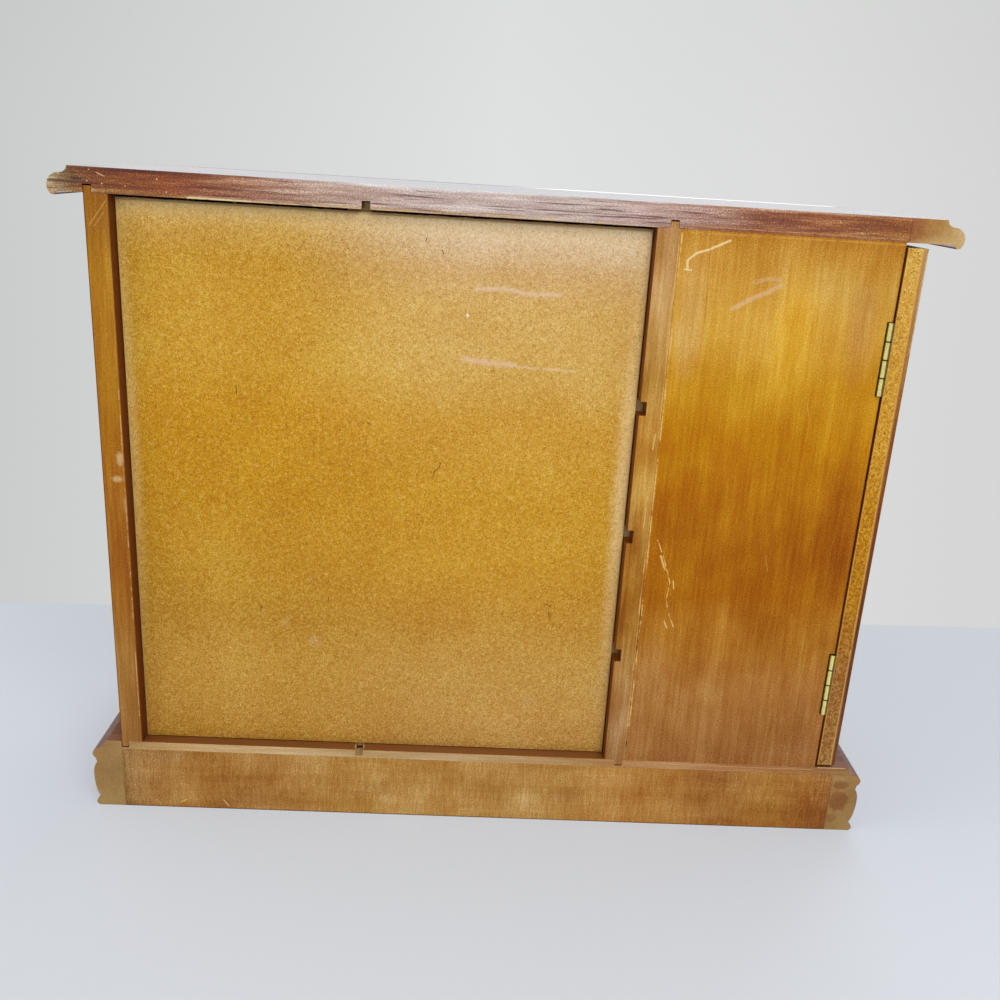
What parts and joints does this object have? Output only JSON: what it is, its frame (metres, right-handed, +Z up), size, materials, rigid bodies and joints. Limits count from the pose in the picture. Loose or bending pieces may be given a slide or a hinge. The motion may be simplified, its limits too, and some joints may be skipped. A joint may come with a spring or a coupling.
{
  "type": "desktop jewellery cabinet",
  "caption": "Tabletop wooden jewellery cabinet with moulded top and plinth, stacked drawers, a swing-out side door on brass butt hinges and a framed front door",
  "frame": {"origin": "centre of the footprint, on the surface that the plinth stands on", "axes": "+Z up, -Y the front with drawers and door, +Y the back, +X to the right seen from the front; the side door is on the -X side"},
  "size_m": [0.45, 0.1608, 0.357],
  "materials": {
    "top_wood": "glossy dark red-brown stain and lacquer, streaky grain, worn to pale wood at the corners",
    "plinth_wood": "dark brown stained moulding, satin lacquer, bare end grain at the back",
    "rail_wood": "thin orange-brown stain over fine grain, blotchy, unpolished",
    "case_wood": "orange-brown stain under satin lacquer",
    "back_panel_wood": "golden orange stain, fine upright grain, scratched",
    "hardboard": "smooth fibrous hardboard with thin amber lacquer and paler edges",
    "side_door_board": "stained and lacquered facing, chipped along its rear edge",
    "side_door_core": "speckled pressed board at the edges, stained on its inner face",
    "front_wood": "red-brown stain under glossy lacquer",
    "panel_wood": "red-brown stain under glossy lacquer",
    "drawer_wood": "bare pale wood, lightly sealed",
    "drawer_lining": "short dark red flocking over thin board",
    "plain_wood": "unfinished softwood",
    "hinge_brass": "bright rolled brass, lightly tarnished",
    "hook_brass": "bright brass wire",
    "knob_brass": "turned and polished brass",
    "catch_steel": "plain nickelled steel"
  },
  "bodies": {
    "case": {"top_board": "top_wood", "top_moulding_left": "top_wood", "top_moulding_right": "top_wood", "top_moulding_front": "top_wood", "base_board": "case_wood", "plinth_moulding_left": "plinth_wood", "plinth_moulding_right": "plinth_wood", "plinth_moulding_front": "plinth_wood", "plinth_rear_rail": "rail_wood", "plinth_corner_blocks": "plain_wood", "side_panel": "case_wood", "partition": "case_wood", "divider": "case_wood", "shelf_lower": "case_wood", "shelf_middle": "case_wood", "shelf_upper": "case_wood", "hardboard_back": "hardboard", "side_bay_back": "back_panel_wood", "fixed_front_stiles": "front_wood", "fixed_front_rails": "front_wood", "fixed_front_panel": "panel_wood", "ceiling_hooks": "hook_brass", "side_door_hinge_fixed_leaves": "hinge_brass", "front_door_hinge_fixed_leaves": "hinge_brass", "hinge_pins": "hinge_brass", "front_door_stop": "case_wood", "door_magnets": "catch_steel"},
    "side_door": {"side_door_panel": "side_door_core", "side_door_facing": "side_door_board", "side_door_hinge_moving_leaves": "hinge_brass", "side_door_knob": "knob_brass", "side_door_strike": "catch_steel", "side_door_peg_rail": "case_wood", "side_door_pegs": "hook_brass"},
    "front_door": {"front_door_stiles": "front_wood", "front_door_rails": "front_wood", "front_door_panel": "panel_wood", "front_door_hinge_moving_leaves": "hinge_brass", "front_door_knob": "knob_brass", "front_door_strike": "catch_steel"},
    "drawer_1": {"drawer_1_front": "front_wood", "drawer_1_sides": "drawer_wood", "drawer_1_back": "drawer_wood", "drawer_1_bottom": "drawer_lining", "drawer_1_knob": "knob_brass"},
    "drawer_2": {"drawer_2_front": "front_wood", "drawer_2_sides": "drawer_wood", "drawer_2_back": "drawer_wood", "drawer_2_bottom": "drawer_lining", "drawer_2_knob": "knob_brass"},
    "drawer_3": {"drawer_3_front": "front_wood", "drawer_3_sides": "drawer_wood", "drawer_3_back": "drawer_wood", "drawer_3_bottom": "drawer_lining", "drawer_3_knob": "knob_brass"},
    "drawer_4": {"drawer_4_front": "front_wood", "drawer_4_sides": "drawer_wood", "drawer_4_back": "drawer_wood", "drawer_4_bottom": "drawer_lining", "drawer_4_knob": "knob_brass"}
  },
  "joints": [
    {"name": "side_door_swing", "type": "hinge", "parent": "case", "child": "side_door", "pos_m": [-0.19515, 0.0786, 0.043], "axis": [0, 0, -1], "range_deg": [0, 170]},
    {"name": "front_door_swing", "type": "hinge", "parent": "case", "child": "front_door", "pos_m": [0.19415, -0.0634, 0.043], "axis": [0, 0, 1], "range_deg": [0, 170]},
    {"name": "drawer_1_slide", "type": "slide", "parent": "case", "child": "drawer_1", "axis": [0, -1, 0], "range_m": [0, 0.1]},
    {"name": "drawer_2_slide", "type": "slide", "parent": "case", "child": "drawer_2", "axis": [0, -1, 0], "range_m": [0, 0.1]},
    {"name": "drawer_3_slide", "type": "slide", "parent": "case", "child": "drawer_3", "axis": [0, -1, 0], "range_m": [0, 0.1]},
    {"name": "drawer_4_slide", "type": "slide", "parent": "case", "child": "drawer_4", "axis": [0, -1, 0], "range_m": [0, 0.1]}
  ]
}
